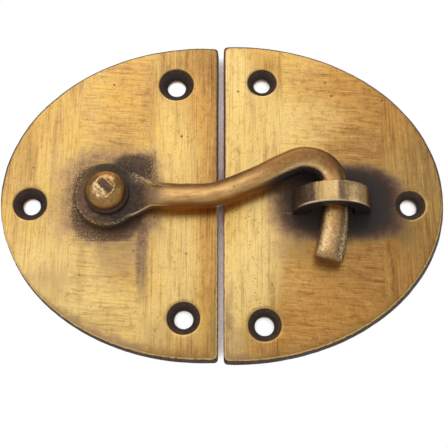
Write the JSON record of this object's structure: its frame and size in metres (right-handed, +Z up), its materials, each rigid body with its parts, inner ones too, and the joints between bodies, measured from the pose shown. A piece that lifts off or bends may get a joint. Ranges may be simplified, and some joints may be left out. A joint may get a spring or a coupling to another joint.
{
  "type": "hook and eye door latch",
  "caption": "Hook latch on split half-oval brass back plates: a pivoting hook on the left plate drops its bent tip through an arched eye on the right plate to hold a pair of doors shut.",
  "frame": {"origin": "on the hook's pivot axis, in the plane of both plates' backs (the flush end of the pivot stud's peened tail)", "axes": "+X from the pivot towards the catch, +Z up, +Y into the doors (outward normal of the mounting face); hook latched"},
  "size_m": [0.1032, 0.0127, 0.0774],
  "materials": {
    "plate": "antiqued cast brass, brushed, with dark patina left around the hook's eye and the staple and in the countersinks",
    "stud": "antiqued turned brass, filed flat on the crown",
    "hook": "dark antiqued forged brass, worn bright along the raised edges",
    "staple": "antiqued brass, worn bright on the rim"
  },
  "bodies": {
    "hook_half": {"hook_plate": "plate", "pivot_stud": "stud"},
    "hook": {"hook": "hook"},
    "catch_half": {"catch_plate": "plate", "eye_staple": "staple"}
  },
  "joints": [
    {"name": "hook_swing", "type": "hinge", "parent": "hook_half", "child": "hook", "pos_m": [0, 0, 0], "axis": [0, -1, 0], "range_deg": [-4, 270]},
    {"name": "catch_half_slide", "type": "slide", "parent": "hook_half", "child": "catch_half", "axis": [0, 0, -1], "range_m": [0, 0.03]}
  ]
}
